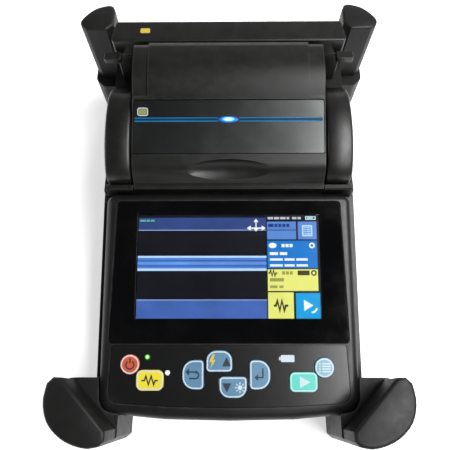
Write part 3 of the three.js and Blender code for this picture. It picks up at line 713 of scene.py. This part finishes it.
def icon_outlines():
    """The printed symbols: button, material and the outlines of each."""
    zig_x = (-43.4, -42, -41.2, -39.9, -38.6, -37.3, -36.6, -35.2)
    zig_y = (-57, -57, -54.9, -58.9, -54.9, -58.9, -57, -57)
    zig = list(zip(zig_x, zig_y))
    sun = [circle(5.4, -60.3, 1.15, 16)]
    for k in range(8):
        a = math.pi * k / 4
        sun.append(stroke([on_circle(5.4, -60.3, reach, a) for reach in (1.6, 2.5)], 0.5))
    listing = []
    for k in range(4):
        y = -48.9 - 1.25 * k
        listing.append(rect(45.1, y, 0.7, 0.6))
        listing.append(rect(48.3, y, 4.2, 0.6))
    curl = arc_points(-16.6, -54.45, 1.55, 90, -90, 8)
    back_curl = [(-20.0, -52.9), (-16.6, -52.9), *curl, (-19.8, -56.0)]
    power_ring = stroke(arc_points(-49.4, -49.5, 2.0, 125, 415, 18), 0.7)
    flash_x = (-8.0, -9.9, -8.5, -9.3, -6.7, -8.0, -7.0)
    flash_y = (-44.4, -48.1, -48.1, -51.2, -47.1, -47.1, -44.4)
    flash = list(zip(flash_x, flash_y))
    enter_hook = stroke([(16.8, -51.0), (16.8, -55.5), (14.2, -55.5)], 0.75)
    return [
        ("button_power", PRINT_DARK, [power_ring, rect(-49.4, -47.5, 0.75, 2.4)]),
        ("button_heat", PRINT_DARK, [stroke(zig, 0.75)]),
        (
            "button_back",
            PRINT_DARK,
            [stroke(back_curl, 0.75), [(-19.8, -54.7), (-21.7, -52.9), (-19.8, -51.1)]],
        ),
        ("button_up", PRINT_DARK, [[(-3.4, -50.2), (1.0, -50.2), (-1.2, -45.7)]]),
        ("button_up", PRINT_YELLOW, [flash]),
        ("button_down", PRINT_DARK, [[(-3.4, -58.2), (-1.1, -62.6), (1.2, -58.2)]]),
        ("button_down", PRINT_PALE, sun),
        ("button_enter", PRINT_DARK, [enter_hook, [(14.4, -53.9), (12.5, -55.5), (14.4, -57.1)]]),
        ("button_start", PRINT_PALE, [[(35.0, -60.5), (40.2, -57.7), (35.0, -54.9)]]),
        ("button_menu", PRINT_PALE, listing),
    ]


def make_keypad():
    for name, outline in BUTTON_OUTLINES.items():
        colour = BUTTON_COLOURS[name]
        pale = tuple(min(1.0, c * 1.25 + 0.02) for c in colour)
        print_name = name.replace("button", "key_colour")
        material = moulded(print_name, colour, pale, (0.28, 0.38), 2600, 0.00002, 0.2, 0.25)
        dress(name, material, 0.35, 3, 40)
        bm = bmesh.new()
        rim = inset(outline, 0.38)
        add_ring(bm, rim, inset(outline, 1.0), BUTTON_TOP - 0.3, BUTTON_TOP + 0.02, PANEL)
        piece(name + "_rim", bm, PRINT_PALE, name)
    for i, (name, material, outlines) in enumerate(icon_outlines()):
        bm = bmesh.new()
        for outline in outlines:
            add_prism(bm, outline, BUTTON_TOP - 0.3, BUTTON_TOP + 0.025, PANEL)
        piece(f"{name}_icon_{i}", bm, material, name)
    bm = bmesh.new()
    add_prism(bm, rect(29.3, -46.5, 6.8, 3.4, 0.5), SHEET_TOP - 0.2, SHEET_TOP + 0.02, PANEL)
    add_prism(bm, rect(25.4, -46.5, 0.8, 1.6), SHEET_TOP - 0.2, SHEET_TOP + 0.02, PANEL)
    piece("battery_mark", bm, PRINT_PALE, "chassis")


# ---- label plate --------------------------------------------------------------------------------


def make_label():
    sides = ((-49.0, -5.4), (5.4, 49.0))
    stripe = lit("stripe_blue", (0.02, 0.19, 0.42), 1.1, 0.25)
    bm = bmesh.new()
    for y, width in ((LIGHT_BAR_Y - 0.85, 0.62), (LIGHT_BAR_Y + 0.85, 0.5)):
        for x0, x1 in sides:
            add_prism(bm, rect((x0 + x1) / 2, y, x1 - x0, width), -0.1, 0.02, LABEL)
    piece("label_stripe_lines", bm, stripe, "wind_cover")
    faint = lit("stripe_faint", (0.006, 0.06, 0.14), 0.8, 0.2)
    bm = bmesh.new()
    for x0, x1 in sides:
        add_prism(bm, rect((x0 + x1) / 2, LIGHT_BAR_Y, x1 - x0, 1.0), -0.1, 0.015, LABEL)
    piece("label_stripe", bm, faint, "wind_cover")
    bm = bmesh.new()
    lens = ellipse(0, LIGHT_BAR_Y, 5.4, 1.75, 40)
    rings = [(1.0, 0.06), (0.8, 0.18), (0.5, 0.26), (0.2, 0.3)]
    add_dome(bm, lens, (0, LIGHT_BAR_Y), rings, LABEL)
    reach = (5.8 * MM, 1.9 * MM)
    bright = glow("light_bar_blue", LIGHT_BAR_PLACE, reach, (0.5, 0.9, 1.0), (0.0, 0.16, 0.75), 1.6)
    piece("light_bar_glow", bm, bright, "wind_cover")
    bm = bmesh.new()
    patch = rect(-44.8, 22.4, 5.6, 4.4, 1.1)
    add_ring(bm, patch, inset(patch, 0.5), -0.1, 0.02, LABEL)
    piece("label_mark_rim", bm, PRINT_PALE, "wind_cover")
    bm = bmesh.new()
    add_prism(bm, inset(patch, 0.75), -0.1, 0.02, LABEL)
    piece("label_mark", bm, PRINT_OLIVE, "wind_cover")


def make_lid_patch():
    """A plain yellow sticker near the left end of the heater lid."""
    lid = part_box("heater_lid")
    top = lid[1][2] / MM
    place = Matrix.Scale(MM, 4)
    bm = bmesh.new()
    outline = rect(-45.4, 91.2, 6.2, 4.2, 1.2)
    add_prism(bm, outline, top - 0.4, top + 0.05, place)
    piece("lid_patch_rim", bm, PRINT_DARK, "heater_lid")
    bm = bmesh.new()
    add_prism(bm, inset(outline, 0.5), top - 0.4, top + 0.07, place)
    piece("lid_patch", bm, PRINT_YELLOW, "heater_lid")


make_screen()
make_camera_picture()
make_tiles()
make_keypad()
make_label()
make_lid_patch()

# ---- stage --------------------------------------------------------------------------------------


def make_world():
    """A studio with pale walls round the floor and a dim ceiling."""
    world = bpy.data.worlds.new("studio")
    world.use_nodes = True
    tree = world.node_tree
    background = tree.nodes["Background"]
    direction = node(tree, "ShaderNodeTexCoord").outputs["Generated"]
    split = node(tree, "ShaderNodeSeparateXYZ")
    tree.links.new(direction, split.inputs["Vector"])
    stops = [(0.0, (0.95,) * 3), (0.12, (0.9,) * 3), (0.32, (0.15,) * 3), (1.0, (0.05,) * 3)]
    tree.links.new(ramp(tree, split.outputs["Z"], stops), background.inputs["Color"])
    return world


def make_stage():
    bm = bmesh.new()
    bmesh.ops.create_grid(bm, x_segments=8, y_segments=8, size=3.0)
    mesh = bpy.data.meshes.new("floor")
    bm.to_mesh(mesh)
    bm.free()
    floor = bpy.data.objects.new("floor", mesh)
    scene.collection.objects.link(floor)
    mat, tree, bsdf = new_material("floor_pale")
    coords = node(tree, "ShaderNodeTexCoord").outputs["Object"]
    shade = [(0.3, (0.86, 0.86, 0.86)), (0.7, (0.9, 0.9, 0.9))]
    tree.links.new(ramp(tree, noise(tree, coords, 3, 2), shade), bsdf.inputs["Base Color"])
    bsdf.inputs["Roughness"].default_value = 0.7
    bsdf.inputs["Emission Color"].default_value = (1, 1, 1, 1)
    bsdf.inputs["Emission Strength"].default_value = 0.55
    mesh.materials.append(mat)
    scene.world = make_world()
    scene.view_settings.view_transform = "Standard"


def area_light(name, place, target, size, power):
    data = bpy.data.lights.new(name, "AREA")
    data.shape = "RECTANGLE"
    data.size, data.size_y = size
    data.energy = power
    light = bpy.data.objects.new(name, data)
    light.location = place
    aim = Vector(target) - Vector(place)
    light.rotation_euler = aim.to_track_quat("-Z", "Y").to_euler()
    scene.collection.objects.link(light)


def make_camera():
    pitch, yaw, roll = (math.radians(a) for a in CAMERA_ANGLES)
    level = math.sin(pitch)
    ahead = Vector((math.sin(yaw) * level, math.cos(yaw) * level, -math.cos(pitch)))
    flat = Vector((math.cos(yaw), -math.sin(yaw), 0))
    over = flat.cross(ahead)
    right = math.cos(roll) * flat + math.sin(roll) * over
    up = -math.sin(roll) * flat + math.cos(roll) * over
    data = bpy.data.cameras.new("camera")
    data.sensor_width = CAMERA_SENSOR
    data.lens = CAMERA_LENS
    data.clip_start = 0.01
    camera = bpy.data.objects.new("camera", data)
    turn = Matrix((right, up, -ahead)).transposed().to_4x4()
    camera.matrix_world = Matrix.Translation(Vector(CAMERA_PLACE)) @ turn
    scene.collection.objects.link(camera)
    scene.camera = camera


make_stage()
area_light("key", (0.6, -0.14, 1.1), (0.6, -0.14, 0), (0.5, 1.1), 27)
area_light("left", (-1.25, 0.1, 0.45), (0, 0, 0), (0.5, 0.9), 3)
area_light("rear", (0.1, 1.2, 0.5), (0, 0, 0), (0.9, 0.4), 2)
make_camera()
